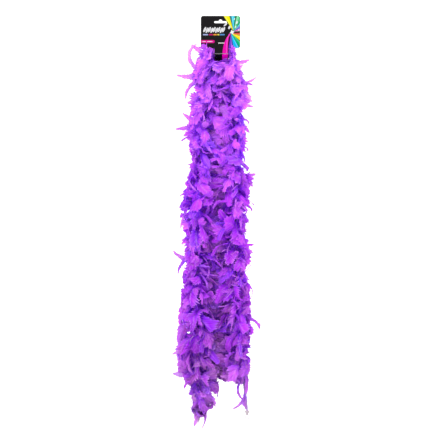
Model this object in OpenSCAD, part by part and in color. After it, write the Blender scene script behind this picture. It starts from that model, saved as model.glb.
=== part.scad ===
// Feather boa folded in half over the strap of its header card.
// +X to the right as seen from the front, +Y to the back, +Z up.
// The origin is the centre of the straight part of the hang slot, in the card's middle plane.

/* [Header card] */
// Width of the card
card_w = 100; // [80:1:120]
// Height of the card above the slot's centre
card_top = 16; // [14:1:24]
// Height of the card below the slot's centre
card_drop = 66; // [56:1:80]
// Thickness of the board
card_t = 0.6; // [0.4:0.1:1.0]
// Radius of the card's corners
card_corner = 6; // [2:0.5:10]

/* [Hang slot] */
// Length of the straight slot, end to end
slot_w = 32; // [28:0.5:36]
// Height of the straight slot
slot_h = 5; // [4.5:0.1:6]
// Radius of the bump in the middle of the slot's upper edge
bump_r = 4.5; // [3:0.5:6]

/* [Strap] */
// Width of the strap that the boa hangs on
strap_w = 35.5; // [30:0.5:40]
// Offset of the strap from the card's centre line
strap_x = 2.5; // [0:0.5:5]
// Width of the lock tab at the end of the strap
tab_w = 15.5; // [12:0.5:18]
// Height of the slit that the lock tab enters
slit_h = 2.2; // [2.0:0.1:3]

/* [Core cord] */
// Diameter of the twisted core cord
cord_d = 6; // [5.8:0.1:6]
// Sides of the cord's cross-section
cord_sides = 10; // [8:1:12]

/* [Feathers] */
// Longest reach of a ruff, away from the other leg
reach_out = 57; // [50:1:57]
// Reach of the ruffs beside a joint, which leaves room for the bend
reach_end = 38; // [30:1:38]
// Thickness of one ring of vanes
vane_t = 1.2; // [0.8:0.1:1.4]
// Vanes in one ring
vane_count = 9; // [7:1:13]
// Rings of vanes on each length of a leg
ring_count = 9; // [7:1:10]

/* [Hidden] */
$fn = 48;

// The strap in side view, as [y, z]: the crease under the front strap, the fold at the bottom
// and the curve that returns behind the boa to the slit.
crease = [0, -80];
fold = [24, -98];
underfold_path = [[0.2, -80.5], [23.1, -97.3]];
back_path = [[24.2, -96.8], [25.5, -90], [25, -82], [22, -74], [16.5, -66.5], [9.5, -60], [3.2, -55.2]];
tab_path = [[2.9, -54.9], [1.6, -53.8], [-0.25, -53.4]];
slit_z = -53.4;
slit_side_room = 0.5;

// The boa hangs in one plane behind the card. Its middle runs level through the strap, turns down
// on both sides round a bend of bend_r, and each leg then follows its own points, as [x, z].
boa_y = 15;
bight_z = -81;
bight_run = [-11, 16];
bend_r = 17;
left_route = [[-28, -112], [-53, -332], [-60, -552], [-59, -772], [-55, -990]];
right_route = [[33, -112], [41, -332], [38, -552], [44, -772], [68, -990]];

// Cord, binding thread and the quills over them are sleeves on one axis.
cord_r = cord_d / 2;
binding_bore_r = cord_r + 0.05;
bend_bore_r = cord_r + 0.3;
binding_r = cord_r + 1;
quill_r = cord_r + 2.5;
cord_gap = 1.3;    // from a joint to the end of a cord
binding_gap = 3;   // from a joint to the end of the binding
quill_gap = 4;     // from a joint to the end of the quills
ring_gap = 16;     // from a joint to the nearest ring of vanes
leg_clearance = 1.5; // from a ruff to the plane between the legs

// Reach of the last rings at the free ends: the left leg stays full, the right one thins to wisps.
left_tail_reach = [52, 46];
right_tail_reach = [26, 18];

// The vanes that hang from the left leg's last ring: [angle round the leg, distance from its axis, share of
// tail_length].
tail_length = 62;
tail_vane_w = 16;
tail_vanes = [[0, 24, 1], [95, 26, 0.86], [190, 22, 0.94], [275, 26, 0.8]];

cord_colour = "plum";
thread_colour = "indigo";
feather_colour = "mediumorchid";
card_colour = "dimgray";

// ---------- small helpers ----------

function mix(a, b, t) = a + (b - a) * t;
function length_of(v) = sqrt(v * v);
function unit(v) = v / length_of(v);

// A strip of even thickness along a side-view path.
function path_normal(path, i) =
  let (before = path[max(i - 1, 0)], after = path[min(i + 1, len(path) - 1)], d = unit(after - before))
  [-d[1], d[0]];
function strip(path, t) = concat(
  [for (i = [0 : len(path) - 1]) path[i] + path_normal(path, i) * t / 2],
  [for (i = [len(path) - 1 : -1 : 0]) path[i] - path_normal(path, i) * t / 2]
);

// A side-view outline, given as [y, z], made solid across the strap.
module across(width) {
  translate([strap_x - width / 2, 0, 0]) rotate([90, 0, 90]) linear_extrude(width) children();
}

// ---------- header card and strap ----------

module rounded_panel(w, low, high, r) {
  h = high - low;
  translate([-w / 2 + r, low]) square([w - 2 * r, h]);
  translate([-w / 2, low + r]) square([w, h - 2 * r]);
  for (x = [-w / 2 + r, w / 2 - r], z = [low + r, high - r]) translate([x, z]) circle(r);
}

module slot_outline() {
  straight = slot_w - slot_h;
  square([straight, slot_h], center = true);
  for (side = [-1, 1]) translate([side * straight / 2, 0]) circle(slot_h / 2);
  translate([0, slot_h / 2]) circle(bump_r);
}

module header_card() {
  color(card_colour) rotate([90, 0, 0]) linear_extrude(card_t, center = true) difference() {
    union() {
      rounded_panel(card_w, -card_drop, card_top, card_corner);
      translate([strap_x - strap_w / 2, crease[1]]) square([strap_w, -card_drop - crease[1] + 1]);
    }
    slot_outline();
    translate([strap_x, slit_z]) square([tab_w + 2 * slit_side_room, slit_h], center = true);
  }
}

module strap_underfold() {
  color(card_colour) across(strap_w) polygon(strip(underfold_path, card_t));
}

module strap_back() {
  color(card_colour) across(strap_w) polygon(strip(back_path, card_t));
}

module lock_tab() {
  color(card_colour) across(tab_w) polygon(strip(tab_path, card_t));
}

// ---------- core cord ----------

// The tube round a route that lies in the boa's plane, as [x, z] points.
function route_direction(route, i) =
  unit(route[min(i + 1, len(route) - 1)] - route[max(i - 1, 0)]);
function tube_ring(route, i, r) =
  let (d = route_direction(route, i), side = [d[1], -d[0]])
  [for (k = [0 : cord_sides - 1])
    let (a = k * 360 / cord_sides)
    [route[i][0] + side[0] * r * cos(a), boa_y + r * sin(a), route[i][1] + side[1] * r * cos(a)]];
module tube(route, r) {
  last = len(route) - 1;
  n = cord_sides;
  points = [for (i = [0 : last]) each tube_ring(route, i, r)];
  walls = [for (i = [0 : last - 1]) for (k = [0 : n - 1])
    [i * n + k, i * n + (k + 1) % n, (i + 1) * n + (k + 1) % n, (i + 1) * n + k]];
  caps = [[for (k = [n - 1 : -1 : 0]) k], [for (k = [0 : n - 1]) last * n + k]];
  color(cord_colour) polyhedron(points, concat(walls, caps), convexity = 4);
}

// One straight length of a leg, with rings spaced evenly from start to end.
leg_rings = 9;
function leg_start(route, n) = route[n - 1];
function leg_vector(route, n) = route[n] - route[n - 1];
function leg_length(route, n) = length_of(leg_vector(route, n));
function leg_points(route, n, gap) =
  let (l = leg_length(route, n), d = unit(leg_vector(route, n)))
  [for (i = [0 : leg_rings - 1]) leg_start(route, n) + d * mix(gap, l - gap, i / (leg_rings - 1))];

// The middle of the cord: down the left bend, level through the strap, down the right bend.
bend_steps = [0 : 15 : 90];
function bend_point(x, side, a) = [x + side * bend_r * sin(a), bight_z - bend_r * (1 - cos(a))];
bight_points = concat(
  [[left_route[0][0], left_route[0][1] + cord_gap]],
  [for (a = bend_steps) bend_point(bight_run[0], -1, 90 - a)],
  [for (a = bend_steps) bend_point(bight_run[1], 1, a)],
  [[right_route[0][0], right_route[0][1] + cord_gap]]
);

module core_cord_bight() { tube(bight_points, cord_r); }
module core_cord_left(n) { tube(leg_points(left_route, n, cord_gap), cord_r); }
module core_cord_right(n) { tube(leg_points(right_route, n, cord_gap), cord_r); }

// ---------- binding thread ----------

module sleeve(length, r, bore) {
  difference() {
    cylinder(h = length, r = r);
    translate([0, 0, -1]) cylinder(h = length + 2, r = bore);
  }
}

// Places its children on a length of a leg, with the local -Z running down the leg.
module on_leg(route, n) {
  v = leg_vector(route, n);
  translate([leg_start(route, n)[0], boa_y, leg_start(route, n)[1]])
    rotate([0, asin(-v[0] / length_of(v)), 0]) children();
}

module binding_on_leg(route, n) {
  l = leg_length(route, n) - 2 * binding_gap;
  color(thread_colour) on_leg(route, n) translate([0, 0, -binding_gap - l])
    sleeve(l, binding_r, binding_bore_r);
}

module binding_thread_bight() {
  color(thread_colour) translate([bight_run[0], boa_y, bight_z]) rotate([0, 90, 0])
    sleeve(bight_run[1] - bight_run[0], binding_r, binding_bore_r);
}
module binding_thread_left(n) { binding_on_leg(left_route, n); }
module binding_thread_right(n) { binding_on_leg(right_route, n); }

// ---------- feathers ----------

// Each vane's outline runs valley, shoulder, tip, shoulder: [share of its turn, share of its reach].
vane_shape = [[0, 0.34], [0.26, 0.78], [0.56, 1], [0.80, 0.72]];
function vane_scale(i, seed) = 0.87 + 0.13 * sin(137 * i + 71 * seed);

// A flat ring of vanes across the cord. It reaches furthest along +X and least along -X. The seed turns
// the ring and varies its vanes, so that no two rings line up.
ring_turn = 23;
module vane_ring(near, far, seed) {
  translate([0, 0, -vane_t / 2]) linear_extrude(vane_t) polygon([
    for (i = [0 : vane_count - 1]) for (s = vane_shape)
      let (a = (i + s[0]) * 360 / vane_count + ring_turn * seed, r = mix(near, far, (1 + cos(a)) / 2))
      r * s[1] * vane_scale(i, seed) * [cos(a), sin(a)]
  ]);
}

// How far a ruff may reach towards the other leg at a share t of length n.
function half_gap(n, t) =
  (mix(right_route[n - 1][0], right_route[n][0], t) - mix(left_route[n - 1][0], left_route[n][0], t)) / 2;
full_from = 0.3125; // the share of a length at which its ruff has grown to full reach
function full_reach(t) = mix(reach_end, reach_out, min(1, min(t, 1 - t) / full_from));

// Rings of vanes on quills round one length of a leg. side is -1 on the left leg and 1 on the right.
module ruff_on_leg(route, n, side, tail_reach) {
  l = leg_length(route, n);
  color(feather_colour) on_leg(route, n) difference() {
    union() {
      translate([0, 0, quill_gap - l]) cylinder(h = l - 2 * quill_gap, r = quill_r);
      for (i = [0 : ring_count - 1]) {
        t = mix(ring_gap / l, 1 - ring_gap / l, i / (ring_count - 1));
        from_end = ring_count - 1 - i;
        far = n == 4 && from_end < 2 ? tail_reach[1 - from_end] : full_reach(t);
        near = min(half_gap(n, t) - leg_clearance, far);
        translate([0, 0, -t * l]) rotate([0, 0, side < 0 ? 180 : 0]) vane_ring(near, far, i + n);
      }
    }
    translate([0, 0, -l]) cylinder(h = l, r = binding_r);
  }
}

// A single vane that hangs straight down from the last ring.
module hanging_vane(length, width) {
  rotate([90, 0, 0]) linear_extrude(vane_t, center = true) polygon([
    [-width / 4, 2], [width / 4, 2], [width / 2, -length * 0.45], [0, -length], [-width / 2, -length * 0.4]
  ]);
}

module tail(route, n) {
  l = leg_length(route, n);
  on_leg(route, n) translate([0, 0, ring_gap - l]) for (v = tail_vanes)
    rotate([0, 0, v[0]]) translate([v[1], 0, 0]) rotate([0, 0, 90])
      hanging_vane(tail_length * v[2], tail_vane_w);
}

module feathers_left(n) {
  color(feather_colour) {
    ruff_on_leg(left_route, n, -1, left_tail_reach);
    if (n == 4) tail(left_route, n);
  }
}
module feathers_right(n) { ruff_on_leg(right_route, n, 1, right_tail_reach); }

// The feathers pressed flat inside the strap.
pressed_r = 7;
module feathers_bight_middle() {
  run = bight_run[1] - bight_run[0];
  folds = 6;
  pitch = run / folds;
  color(feather_colour) translate([bight_run[0], boa_y, bight_z]) rotate([0, 90, 0]) rotate_extrude()
    polygon(concat(
      [[binding_r, run], [binding_r, 0]],
      [for (i = [0 : folds - 1]) each [
        [quill_r, i * pitch], [pressed_r, (i + 0.4) * pitch], [pressed_r, (i + 0.6) * pitch]]],
      [[quill_r, run]]
    ));
}

// The fuller rings on each bend: [angle round the bend, reach towards the strap, reach away from it].
shoulder_rings = [[35, 7.5, 20], [62, 11, 24], [90, 11.5, 30]];
shoulder_sweep = 68; // of the 90 degrees of the bend, so that the quills end beside the strap
module shoulder(x, side) {
  drop = left_route[0][1] - (bight_z - bend_r);
  color(feather_colour) translate([x, boa_y, bight_z - bend_r]) scale([side, 1, 1]) difference() {
    union() {
      rotate([90, 0, 0]) rotate_extrude(angle = shoulder_sweep) translate([bend_r, 0]) circle(quill_r);
      translate([bend_r, 0, drop + quill_gap]) cylinder(h = -drop - quill_gap, r = quill_r);
      for (ring = shoulder_rings) rotate([0, ring[0] - 90, 0]) translate([bend_r, 0, 0])
        vane_ring(ring[1], ring[2], ring[0]);
    }
    rotate([90, 0, 0]) rotate_extrude() translate([bend_r, 0]) circle(bend_bore_r);
    translate([bend_r, 0, drop]) cylinder(h = -drop, r = bend_bore_r);
  }
}
module feathers_bight_left() { shoulder(bight_run[0], -1); }
module feathers_bight_right() { shoulder(bight_run[1], 1); }

// ---------- ends ----------

knot_r = 6;
knot_drop = 3; // from the end of the route to the middle of the knot
function knot_z(route) = route[4][1] - knot_drop;
module end_knot(route) {
  color(cord_colour) translate([route[4][0], boa_y, knot_z(route)]) sphere(knot_r);
}
module end_knot_left() { end_knot(left_route); }
module end_knot_right() { end_knot(right_route); }
end_tail_h = 24;
end_tail_in_knot = 2;
module end_tail_left() {
  color(cord_colour)
    translate([left_route[4][0], boa_y, knot_z(left_route) - knot_r + end_tail_in_knot - end_tail_h])
      cylinder(h = end_tail_h, r1 = 4, r2 = 2.4);
}
loop_r = 6;
module end_loop_right() {
  color(cord_colour) translate([right_route[4][0], boa_y, knot_z(right_route) - knot_r - loop_r])
    rotate([90, 0, 0]) rotate_extrude() translate([loop_r, 0]) circle(1.5);
}

header_card();
strap_underfold();
strap_back();
lock_tab();
core_cord_bight();
binding_thread_bight();
feathers_bight_middle();
feathers_bight_left();
feathers_bight_right();
end_knot_left();
end_tail_left();
end_knot_right();
end_loop_right();
for (n = [1 : 4]) {
  core_cord_left(n);
  core_cord_right(n);
  binding_thread_left(n);
  binding_thread_right(n);
  feathers_left(n);
  feathers_right(n);
}
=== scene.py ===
import math

import bpy
import numpy as np
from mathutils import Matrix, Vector


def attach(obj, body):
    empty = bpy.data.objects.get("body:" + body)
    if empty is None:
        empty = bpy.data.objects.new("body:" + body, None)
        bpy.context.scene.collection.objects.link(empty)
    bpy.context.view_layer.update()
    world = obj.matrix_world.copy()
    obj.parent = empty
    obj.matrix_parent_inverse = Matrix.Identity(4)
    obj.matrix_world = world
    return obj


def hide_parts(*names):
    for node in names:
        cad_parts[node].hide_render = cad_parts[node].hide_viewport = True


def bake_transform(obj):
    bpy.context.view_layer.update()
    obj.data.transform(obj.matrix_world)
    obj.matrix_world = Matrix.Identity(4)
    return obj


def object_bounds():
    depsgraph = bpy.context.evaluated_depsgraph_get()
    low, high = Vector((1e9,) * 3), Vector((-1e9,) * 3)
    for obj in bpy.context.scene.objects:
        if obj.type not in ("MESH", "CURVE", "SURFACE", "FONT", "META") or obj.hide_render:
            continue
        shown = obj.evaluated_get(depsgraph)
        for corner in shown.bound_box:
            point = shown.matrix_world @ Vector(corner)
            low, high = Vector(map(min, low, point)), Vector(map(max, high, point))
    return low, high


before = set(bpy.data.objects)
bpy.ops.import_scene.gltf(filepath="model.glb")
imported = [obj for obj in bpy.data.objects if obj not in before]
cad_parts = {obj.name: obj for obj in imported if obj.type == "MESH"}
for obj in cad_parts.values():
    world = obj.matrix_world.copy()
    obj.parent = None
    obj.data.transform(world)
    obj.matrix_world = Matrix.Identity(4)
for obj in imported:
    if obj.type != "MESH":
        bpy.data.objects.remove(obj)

cad_low, cad_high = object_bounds()

# ---------- places and sizes from the design, in metres ----------

BOA_Y = 0.015
BIGHT_Z = -0.081
BIGHT_RUN = {"left": -0.011, "right": 0.016}
BEND_R = 0.017
CORD_D = 0.006
SIGN = {"left": -1, "right": 1}
ROUTES = {
    "left": [(-0.028, -0.112), (-0.053, -0.332), (-0.060, -0.552), (-0.059, -0.772), (-0.055, -0.990)],
    "right": [(0.033, -0.112), (0.041, -0.332), (0.038, -0.552), (0.044, -0.772), (0.068, -0.990)],
}
LEG_PARTS = ("upper", "middle", "lower", "end")
BODIES = {side: ["bight"] + [f"{side}_{part}" for part in LEG_PARTS] for side in ROUTES}
LENGTHS = range(1, 5)
KNOT_Z = -0.993
CARD_HALF_WIDTH = 0.050
CARD_TOP = 0.016
CARD_BOTTOM = -0.066
CARD_CORNER = 0.006
CARD_FACE_Y = -0.0003
STRAP_LEFT, STRAP_RIGHT = -0.01525, 0.02025
CREASE_Z = -0.080
FOLD_Y, FOLD_Z = 0.024, -0.098
UNDERFOLD = [(0.0002, -0.0805), (0.0231, -0.0973)]


def boa_point(x, z):
    return Vector((x, BOA_Y, z))


def leg_point(side, n, share):
    """The point at a share of length n of a leg."""
    (x0, z0), (x1, z1) = ROUTES[side][n - 1], ROUTES[side][n]
    return boa_point(x0 + (x1 - x0) * share, z0 + (z1 - z0) * share)


def leg_roots(side, z):
    """The places on the cord of a leg at some heights."""
    route = ROUTES[side][::-1]
    x = np.interp(z, [p[1] for p in route], [p[0] for p in route])
    return np.stack([x, np.full(len(z), BOA_Y), z], 1)


def bend_point(side, angle):
    """A point on the bend beside the strap: 0 at the level run, 90 at the top of the leg."""
    a = math.radians(angle)
    out = SIGN[side] * BEND_R * math.sin(a)
    return boa_point(BIGHT_RUN[side] + out, BIGHT_Z - BEND_R * (1 - math.cos(a)))


def bight_route():
    left = [bend_point("left", a) for a in range(90, -1, -5)]
    return left + [bend_point("right", a) for a in range(0, 91, 5)]


# ---------- camera ----------

VIEW_WIDTH = 1.092
VIEW_CENTRE = (-0.014, -0.4897)


def make_camera():
    data = bpy.data.cameras.new("camera")
    data.lens = 100
    data.sensor_width = 36
    data.clip_end = 50
    camera = bpy.data.objects.new("camera", data)
    bpy.context.scene.collection.objects.link(camera)
    camera.location = (VIEW_CENTRE[0], -VIEW_WIDTH * data.lens / data.sensor_width, VIEW_CENTRE[1])
    camera.rotation_euler = (math.radians(90), 0, 0)
    bpy.context.scene.camera = camera


make_camera()


# ---------- materials ----------

def set_inputs(node, values):
    for key, value in values.items():
        node.inputs[key].default_value = value


def colour(red, green, blue):
    """A colour given as screen values from 0 to 255, as linear light."""
    def linear(c):
        c /= 255
        return c / 12.92 if c <= 0.04045 else ((c + 0.055) / 1.055) ** 2.4
    return (linear(red), linear(green), linear(blue), 1)


class Shading:
    """A new material, with short ways to add its nodes and to join them."""

    def __init__(self, name):
        self.material = bpy.data.materials.new(name)
        self.material.use_nodes = True
        tree = self.material.node_tree
        self.nodes, self.link = tree.nodes, tree.links.new
        self.shader = tree.nodes["Principled BSDF"]

    def node(self, kind, inputs=None, **values):
        node = self.nodes.new(f"ShaderNode{kind}")
        for key, value in values.items():
            setattr(node, key, value)
        set_inputs(node, inputs or {})
        return node

    def tint(self):
        """The colour that is stored on the mesh."""
        return self.node("Attribute", attribute_name="tint").outputs["Color"]

    def place(self, kind="Object"):
        return self.node("TexCoord").outputs[kind]

    def noise(self, vector, scale, detail=2.0, dimensions="3D"):
        noise = self.node("TexNoise", {"Scale": scale, "Detail": detail}, noise_dimensions=dimensions)
        self.link(vector, noise.inputs["Vector"])
        return noise.outputs["Fac"]

    def scaled(self, value, low, high, out_low, out_high):
        """Takes the range from low to high to the range from out_low to out_high."""
        limits = {"From Min": low, "From Max": high, "To Min": out_low, "To Max": out_high}
        scaled = self.node("MapRange", limits)
        self.link(value, scaled.inputs["Value"])
        return scaled.outputs["Result"]

    def ramp(self, value, *stops):
        """A ramp of two colours, each given with its position."""
        ramp = self.node("ValToRGB")
        for element, (position, shade) in zip(ramp.color_ramp.elements, stops):
            element.position = position
            element.color = shade
        self.link(value, ramp.inputs["Fac"])
        return ramp.outputs["Color"]

    def mix(self, first, second, factor=None):
        """Mixes two colours by a factor, or multiplies them if there is none."""
        mixed = self.node("Mix", data_type="RGBA", blend_type="MIX" if factor else "MULTIPLY")
        if factor:
            self.link(factor, mixed.inputs["Factor"])
        else:
            mixed.inputs["Factor"].default_value = 1.0
        self.link(first, mixed.inputs["A"])
        self.link(second, mixed.inputs["B"])
        return mixed.outputs["Result"]

    def surface(self, base, values):
        """The base colour and the plain settings of the surface."""
        self.link(base, self.shader.inputs["Base Color"])
        set_inputs(self.shader, values)

    def bump(self, height, strength, distance):
        bump = self.node("Bump", {"Strength": strength, "Distance": distance})
        self.link(height, bump.inputs["Height"])
        self.link(bump.outputs["Normal"], self.shader.inputs["Normal"])


def feather_material():
    """Dyed barbs: their colour, with its painted shade and painted highlight, is on the mesh, with fine lines
    along the barbs and light through the vane.
    """
    m = Shading("feather")
    barbs = m.node("UVMap", uv_map="barbs").outputs["UV"]
    lines = m.noise(barbs, 1.0, dimensions="2D")
    clumps = m.noise(barbs, 0.16, dimensions="2D")
    fine = m.scaled(lines, 0.3, 0.7, 0.80, 1.12)
    broad = m.scaled(clumps, 0.35, 0.65, 0.72, 1.12)
    dye_over_painted_shade = m.mix(m.mix(m.tint(), fine), broad)
    m.surface(dye_over_painted_shade, {"Roughness": 0.55, "Specular IOR Level": 0.03, "Sheen Weight": 0.05,
                     "Sheen Roughness": 0.45, "Sheen Tint": colour(196, 60, 255)})
    m.bump(lines, 0.35, 0.0004)
    through = m.node("BsdfTranslucent")
    m.link(dye_over_painted_shade, through.inputs["Color"])
    mixed = m.node("MixShader", {"Fac": THROUGH_LIGHT})
    m.link(m.shader.outputs["BSDF"], mixed.inputs[1])
    m.link(through.outputs["BSDF"], mixed.inputs[2])
    m.link(mixed.outputs["Shader"], m.nodes["Material Output"].inputs["Surface"])
    return m.material


def fibre_material(name, dark, light, scale):
    """Spun cotton, with dark and light fibres."""
    m = Shading(name)
    fibres = m.noise(m.place(), scale, detail=6.0)
    m.surface(m.ramp(fibres, (0.32, dark), (0.68, light)), {"Roughness": 0.9, "Sheen Weight": 0.3})
    m.bump(fibres, 0.6, 0.0003)
    return m.material


def board_material(name, printed_side):
    """Black varnished board. Its raw edges and its other side are bare paper."""
    m = Shading(name)
    facing = m.node("VectorMath", {1: printed_side}, operation="DOT_PRODUCT")
    m.link(m.place("Normal"), facing.inputs[0])
    fibres = m.noise(m.place(), 900, detail=5.0)
    paper = m.ramp(fibres, (0.3, colour(150, 145, 136)), (0.7, colour(184, 179, 170)))
    ink = m.ramp(fibres, (0.3, colour(7, 6, 7)), (0.75, colour(19, 16, 18)))
    printed = m.scaled(facing.outputs["Value"], 0.45, 0.55, 0.0, 1.0)
    m.surface(m.mix(paper, ink, printed), {"Specular IOR Level": 0.06})
    m.link(m.scaled(printed, 0.0, 1.0, 0.85, 0.32), m.shader.inputs["Roughness"])
    m.bump(fibres, 0.12, 0.0002)
    return m.material


def ink_material():
    """Varnished colour print: the colour is on the mesh, with the slight mottle of a printed solid."""
    m = Shading("ink")
    mottle = m.noise(m.place(), 700, detail=4.0)
    shade = m.scaled(mottle, 0.3, 0.7, 0.88, 1.06)
    m.surface(m.mix(m.tint(), shade), {"Roughness": 0.3, "Specular IOR Level": 0.05})
    m.bump(mottle, 0.08, 0.0002)
    return m.material


THROUGH_LIGHT = 0.42     # the share of light that passes through a vane
FEATHER = feather_material()
CORD = fibre_material("core_cord", colour(92, 60, 118), colour(176, 150, 190), 1400)
CORD_END = fibre_material("cord_end", colour(96, 84, 96), colour(184, 172, 178), 1400)
THREAD = fibre_material("binding_thread", colour(60, 16, 120), colour(120, 50, 190), 2600)
INK = ink_material()


# ---------- meshes ----------

def add_mesh(name, points, faces, material, smooth=True):
    mesh = bpy.data.meshes.new(name)
    mesh.from_pydata(np.asarray(points, float).reshape(-1, 3).tolist(), [], faces)
    mesh.polygons.foreach_set("use_smooth", [smooth] * len(mesh.polygons))
    mesh.materials.append(material)
    piece = bpy.data.objects.new(name, mesh)
    bpy.context.scene.collection.objects.link(piece)
    return piece


def add_tint(piece, tints):
    """Stores a colour for each point, as linear light."""
    rgba = np.ones((len(tints), 4), np.float32)
    rgba[:, :3] = np.clip(np.asarray(tints)[:, :3], 0, 1)
    piece.data.attributes.new("tint", "FLOAT_COLOR", "POINT").data.foreach_set("color", rgba.ravel())


def on_body(piece, body, node):
    """The piece rides on a body and replaces a node of the design."""
    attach(piece, body)
    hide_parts(node)


def turns(count):
    """Evenly spaced angles round a circle."""
    return np.linspace(0, 2 * math.pi, count, endpoint=False)


def run_lengths(path):
    return np.r_[0, np.cumsum(np.linalg.norm(np.diff(np.array(path, float), axis=0), axis=1))]


def path_at(path, run):
    """The points at given distances along a polyline."""
    path = np.array(path, float)
    lengths = run_lengths(path)
    return np.stack([np.interp(run, lengths, path[:, k]) for k in range(3)], axis=-1)


def resample(path, step):
    """Points along a polyline, evenly spaced."""
    whole = run_lengths(path)[-1]
    return path_at(path, np.linspace(0, whole, max(2, round(whole / step) + 1)))


def unit_rows(v):
    return v / np.maximum(np.linalg.norm(v, axis=-1, keepdims=True), 1e-9)


def path_frames(path):
    """Tangents and two cross directions along a path. The first cross direction stays near +Y."""
    tangent = unit_rows(np.gradient(path, axis=0))
    up = unit_rows(np.cross(tangent, [0.0, 1.0, 0.0]))
    return tangent, np.cross(up, tangent), up


def tube_faces(rings, sides, closed=False):
    """Quads of a tube, with flat ends unless it is a closed ring."""
    faces = []
    for i in range(rings if closed else rings - 1):
        for k in range(sides):
            j, m = (i + 1) % rings, (k + 1) % sides
            faces.append((i * sides + k, i * sides + m, j * sides + m, j * sides + k))
    if not closed:
        faces.append(tuple(range(sides - 1, -1, -1)))
        faces.append(tuple(range((rings - 1) * sides, rings * sides)))
    return faces


def tube_points(path, radius, sides, cross):
    """Rings of points round a path. The radius is a number or one for each point of each ring."""
    angle = turns(sides)
    radius = np.broadcast_to(radius, (len(path), sides))
    first, second = cross
    rings = (path[:, None, :] + first[:, None, :] * (radius * np.cos(angle))[..., None]
             + second[:, None, :] * (radius * np.sin(angle))[..., None])
    return rings.reshape(-1, 3)


def add_tube(name, path, radius, sides, cross, material, closed=False):
    faces = tube_faces(len(path), sides, closed)
    return add_mesh(name, tube_points(path, radius, sides, cross), faces, material)


# ---------- core cord ----------

PLIES = 3
TWIST_PITCH = 0.016
CORD_STEP = 0.0022
CORD_SIDES = 18
VALLEY = 0.16          # how deep the valleys between the plies are, as a share of the radius


def twisted_cord(name, path):
    """A tube with the outline of three plies that turn round each other."""
    path = resample(path, CORD_STEP)
    _, across, up = path_frames(path)
    angle = turns(CORD_SIDES)
    turn = run_lengths(path)[:, None] / TWIST_PITCH * 2 * math.pi
    radius = CORD_D / 2 * (1 - VALLEY + VALLEY * np.abs(np.cos((angle[None, :] - turn) * PLIES / 2)))
    return add_tube(name, path, radius, CORD_SIDES, (across, up), CORD), path


def make_bight_cord():
    piece, path = twisted_cord("core_cord_bight_piece", bight_route())
    on_body(piece, "bight", "core_cord_bight")


def blend_across(piece):
    """Applies the piece's placement to its points."""
    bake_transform(piece)


def make_leg_cord(side):
    """Four stretches, from the middle of one length to the next, and an end."""
    start = bend_point(side, 90)
    for n in LENGTHS:
        end = leg_point(side, n, 0.5)
        piece, path = twisted_cord(f"core_cord_{side}_piece_{n}", [start, leg_point(side, n, 0), end])
        blend_across(piece)
        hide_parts(f"core_cord_{side}_{n}")
        start = end
    piece, path = twisted_cord(f"core_cord_{side}_piece_5", [start, leg_point(side, 4, 1)])
    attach(piece, BODIES[side][4])


make_bight_cord()
for leg in ROUTES:
    make_leg_cord(leg)


# ---------- binding thread ----------

THREAD_PITCH = 0.005
THREAD_R = 0.0005
WOUND_R = 0.0034
THREAD_SIDES = 5
POINTS_PER_TURN = 9


def wound_thread(name, path):
    """Thread wound round the cord and the ends of the quills."""
    path = resample(path, THREAD_PITCH / POINTS_PER_TURN)
    tangent, across, up = path_frames(path)
    turn = (run_lengths(path) / THREAD_PITCH * 2 * math.pi)[:, None]
    out = across * np.cos(turn) + up * np.sin(turn)
    piece = add_tube(name, path + out * WOUND_R, THREAD_R, THREAD_SIDES, (out, tangent), THREAD)
    return piece


def make_binding():
    on_body(wound_thread("binding_thread_bight_piece", bight_route()), "bight", "binding_thread_bight")
    for side in ROUTES:
        for n in LENGTHS:
            ends = [leg_point(side, n, share) for share in (0.02, 0.98)]
            piece = wound_thread(f"binding_thread_{side}_piece_{n}", ends)
            on_body(piece, BODIES[side][n], f"binding_thread_{side}_{n}")


# ---------- knots, tail and loop ----------

KNOT_REACH = 0.0044
KNOT_STRAND_R = 0.0021
TAIL_PLIES = 14
TAIL_PLY_R = 0.0006
TAIL_SIDES = 5
LOOP_R = 0.006
LOOP_THREAD_R = 0.0011
LOOP_BELOW = 0.012     # from the middle of the right knot down to the middle of the loop


def leg_end(side, below=0.0):
    """The middle of a leg's knot, or a point below it."""
    return np.array([ROUTES[side][4][0], BOA_Y, KNOT_Z - below])


def on_leg_end(piece, side, node):
    on_body(piece, BODIES[side][4], node)


def closed_tube(name, path, radius, sides):
    tangent = unit_rows(np.roll(path, -1, axis=0) - np.roll(path, 1, axis=0))
    first = unit_rows(np.cross(tangent, unit_rows(path - path.mean(0)) + [0.0, 0.0, 0.01]))
    cross = (first, np.cross(tangent, first))
    return add_tube(name, path, radius, sides, cross, CORD_END, closed=True)


def make_knot(side):
    """A trefoil, which is an overhand knot with its ends joined, drawn tight."""
    t = turns(90)
    curve = [np.sin(t) + 2 * np.sin(2 * t), -1.6 * np.sin(3 * t), np.cos(t) - 2 * np.cos(2 * t)]
    path = leg_end(side) + np.stack(curve, axis=1) * KNOT_REACH / 3
    piece = closed_tube(f"end_knot_{side}_piece", path, KNOT_STRAND_R, 12)
    on_leg_end(piece, side, f"end_knot_{side}")


def make_tail():
    """The frayed plies under the left knot."""
    rng = np.random.default_rng(5)
    points, faces = [], []
    share = np.linspace(0, 1, 8)[:, None]
    for _ in range(TAIL_PLIES):
        lean = np.append(rng.normal(0, 0.0030, 2), -rng.uniform(0.017, 0.027))
        wave = np.append(rng.normal(0, 0.0012, 2), 0.0)
        path = leg_end("left", 0.003) + lean * share + wave * np.sin(5 * share)
        _, across, up = path_frames(path)
        base = sum(len(ply) for ply in points)
        points.append(tube_points(path, TAIL_PLY_R * (1 - 0.5 * share), TAIL_SIDES, (across, up)))
        faces += [tuple(base + i for i in face) for face in tube_faces(len(path), TAIL_SIDES)]
    piece = add_mesh("end_tail_left_piece", np.concatenate(points), faces, CORD_END)
    on_leg_end(piece, "left", "end_tail_left")


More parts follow.
